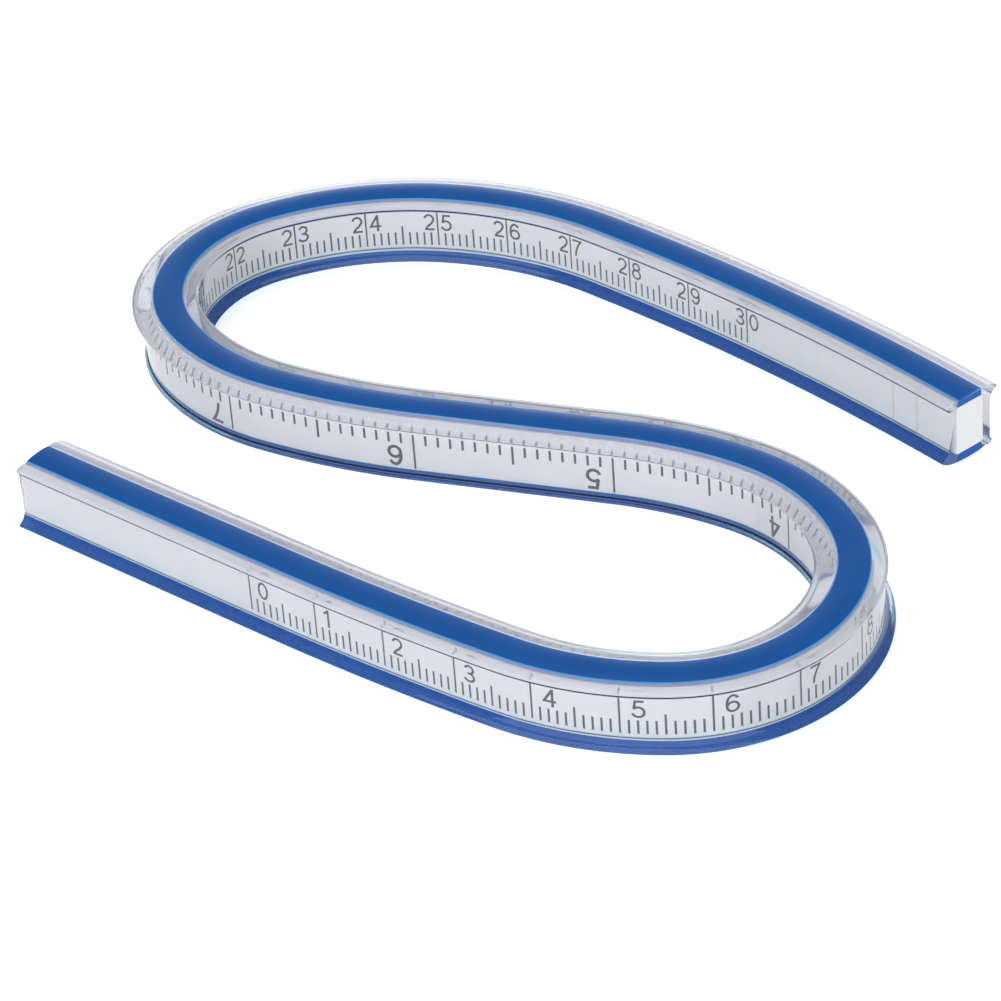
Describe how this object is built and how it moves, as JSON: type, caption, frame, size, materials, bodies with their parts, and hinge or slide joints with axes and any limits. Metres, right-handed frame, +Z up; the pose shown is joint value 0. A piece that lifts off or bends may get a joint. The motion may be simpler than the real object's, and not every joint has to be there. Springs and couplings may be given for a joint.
{
  "type": "flexible curve ruler",
  "caption": "Flexible drawing curve that holds the shape it is bent to, here an S, with a centimetre scale on one side and an inch scale on the other.",
  "frame": {"origin": "centre of the overall outline seen from above, at the level of the table", "axes": "+Z up from the table; +X to the right and +Y away, seen from the side where the start of the scales is on the left"},
  "size_m": [0.1202, 0.1186, 0.0093],
  "materials": {
    "clear_pvc": "clear, glossy, slightly milky",
    "blue_pvc": "solid blue, satin gloss",
    "white_pvc": "white, matt",
    "printed_strip": "white film printed with grey marks",
    "lead": "dull drawn lead",
    "spring_steel": "rolled blue-grey spring steel"
  },
  "bodies": {
    "start_tail": {"clear_wall_inch_start_tail": "clear_pvc", "clear_wall_cm_start_tail": "clear_pvc", "blue_top_start_tail": "blue_pvc", "blue_bottom_start_tail": "blue_pvc", "white_core_start_tail": "white_pvc", "lead_bar_start_tail": "lead", "spring_steel_inch_start_tail": "spring_steel", "spring_steel_cm_start_tail": "spring_steel", "scale_strip_inch_start_tail": "printed_strip", "scale_strip_cm_start_tail": "printed_strip", "end_plug_start": "white_pvc"},
    "first_bend": {"clear_wall_inch_first_bend": "clear_pvc", "clear_wall_cm_first_bend": "clear_pvc", "blue_top_first_bend": "blue_pvc", "blue_bottom_first_bend": "blue_pvc", "white_core_first_bend": "white_pvc", "lead_bar_first_bend": "lead", "spring_steel_inch_first_bend": "spring_steel", "spring_steel_cm_first_bend": "spring_steel", "scale_strip_inch_first_bend": "printed_strip", "scale_strip_cm_first_bend": "printed_strip"},
    "middle_run": {"clear_wall_inch_middle_run": "clear_pvc", "clear_wall_cm_middle_run": "clear_pvc", "blue_top_middle_run": "blue_pvc", "blue_bottom_middle_run": "blue_pvc", "white_core_middle_run": "white_pvc", "lead_bar_middle_run": "lead", "spring_steel_inch_middle_run": "spring_steel", "spring_steel_cm_middle_run": "spring_steel", "scale_strip_inch_middle_run": "printed_strip", "scale_strip_cm_middle_run": "printed_strip"},
    "second_bend": {"clear_wall_inch_second_bend": "clear_pvc", "clear_wall_cm_second_bend": "clear_pvc", "blue_top_second_bend": "blue_pvc", "blue_bottom_second_bend": "blue_pvc", "white_core_second_bend": "white_pvc", "lead_bar_second_bend": "lead", "spring_steel_inch_second_bend": "spring_steel", "spring_steel_cm_second_bend": "spring_steel", "scale_strip_inch_second_bend": "printed_strip", "scale_strip_cm_second_bend": "printed_strip"},
    "finish_tail": {"clear_wall_inch_finish_tail": "clear_pvc", "clear_wall_cm_finish_tail": "clear_pvc", "blue_top_finish_tail": "blue_pvc", "blue_bottom_finish_tail": "blue_pvc", "white_core_finish_tail": "white_pvc", "lead_bar_finish_tail": "lead", "spring_steel_inch_finish_tail": "spring_steel", "spring_steel_cm_finish_tail": "spring_steel", "scale_strip_inch_finish_tail": "printed_strip", "scale_strip_cm_finish_tail": "printed_strip", "end_plug_finish": "white_pvc"}
  },
  "joints": [
    {"name": "start_tail_flex", "type": "hinge", "parent": "first_bend", "child": "start_tail", "pos_m": [0.01538, -0.05442, 0.00465], "axis": [0, 0, 1], "range_deg": [-5, 15]},
    {"name": "first_bend_flex", "type": "hinge", "parent": "middle_run", "child": "first_bend", "pos_m": [0.03846, -0.02916, 0.00465], "axis": [0, 0, 1], "range_deg": [-5, 15]},
    {"name": "second_bend_flex", "type": "hinge", "parent": "middle_run", "child": "second_bend", "pos_m": [-0.04038, 0.02592, 0.00465], "axis": [0, 0, 1], "range_deg": [-5, 15]},
    {"name": "finish_tail_flex", "type": "hinge", "parent": "second_bend", "child": "finish_tail", "pos_m": [-0.01981, 0.05429, 0.00465], "axis": [0, 0, 1], "range_deg": [-5, 15]}
  ]
}
